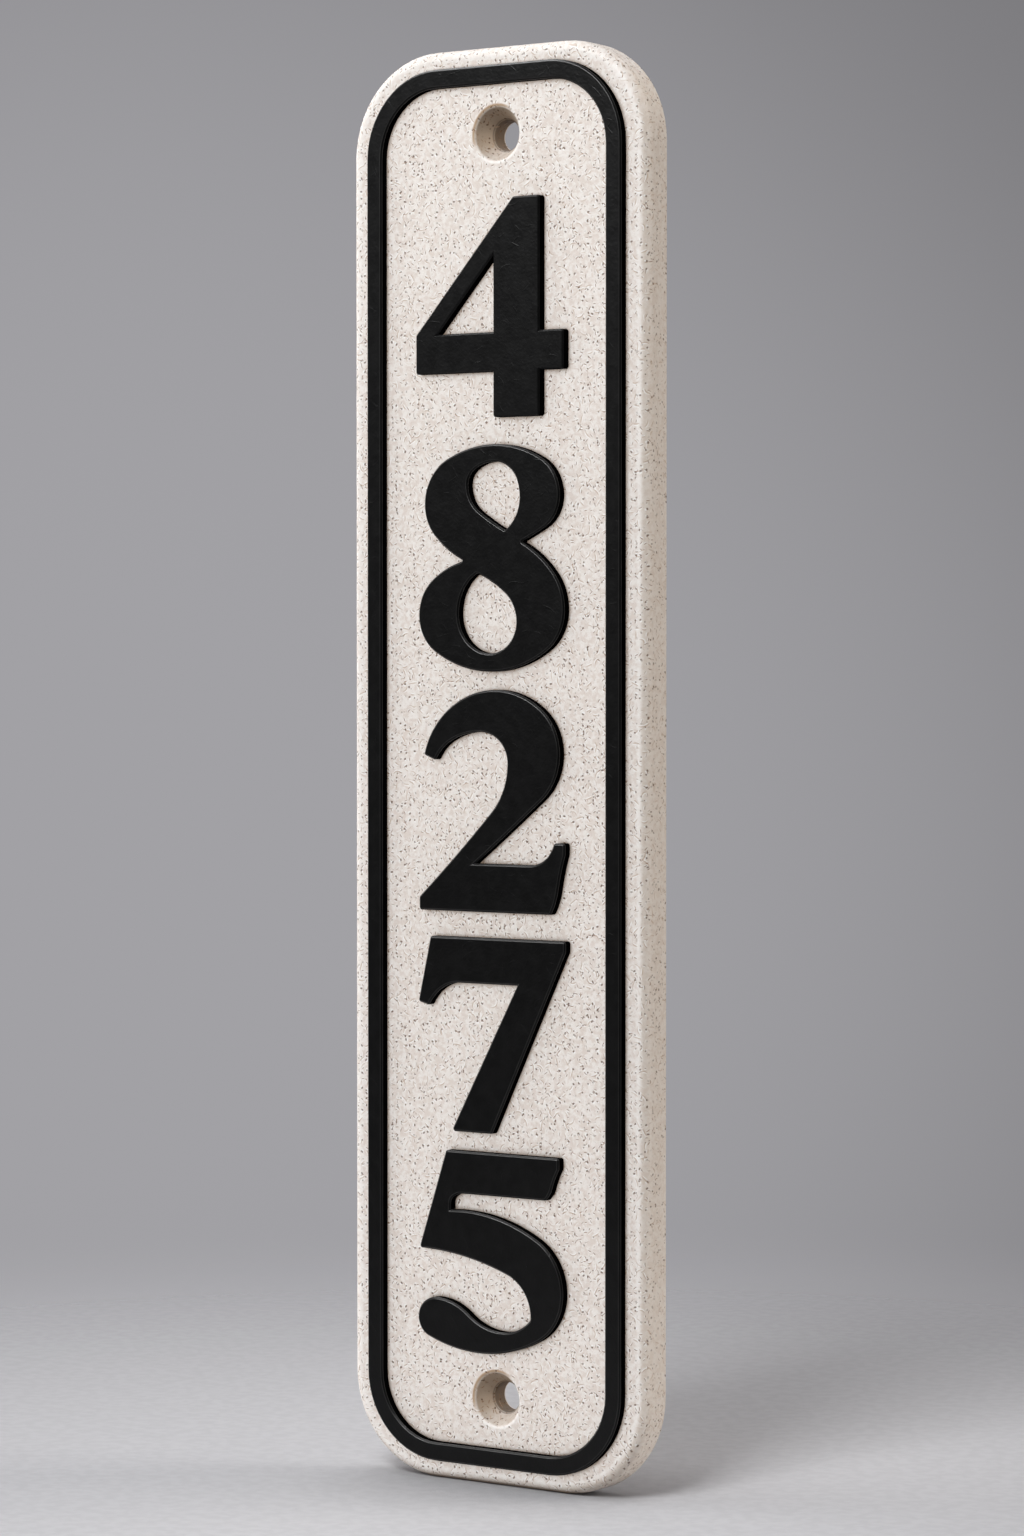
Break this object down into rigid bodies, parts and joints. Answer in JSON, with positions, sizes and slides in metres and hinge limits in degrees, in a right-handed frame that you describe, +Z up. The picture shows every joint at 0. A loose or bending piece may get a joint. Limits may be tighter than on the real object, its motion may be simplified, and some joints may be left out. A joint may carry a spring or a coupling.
{
  "type": "house number plaque",
  "caption": "Tall narrow house number plaque: rounded speckled stone-look slab with a raised black rim, raised black numerals down its front and a countersunk screw hole near each end.",
  "frame": {"origin": "centre of the flat back face, where it meets the wall", "axes": "+Z up along the length, +X to the right seen from the front, +Y into the wall; the numerals face -Y"},
  "size_m": [0.1, 0.0128, 0.4],
  "materials": {
    "stone_slab": "matt off-white cast stone with fine dark flecks",
    "black_relief": "satin black paint"
  },
  "bodies": {
    "root": {"plaque_slab": "stone_slab", "border_rim": "black_relief", "numeral_4": "black_relief", "numeral_8": "black_relief", "numeral_2": "black_relief", "numeral_7": "black_relief", "numeral_5": "black_relief"}
  },
  "joints": []
}
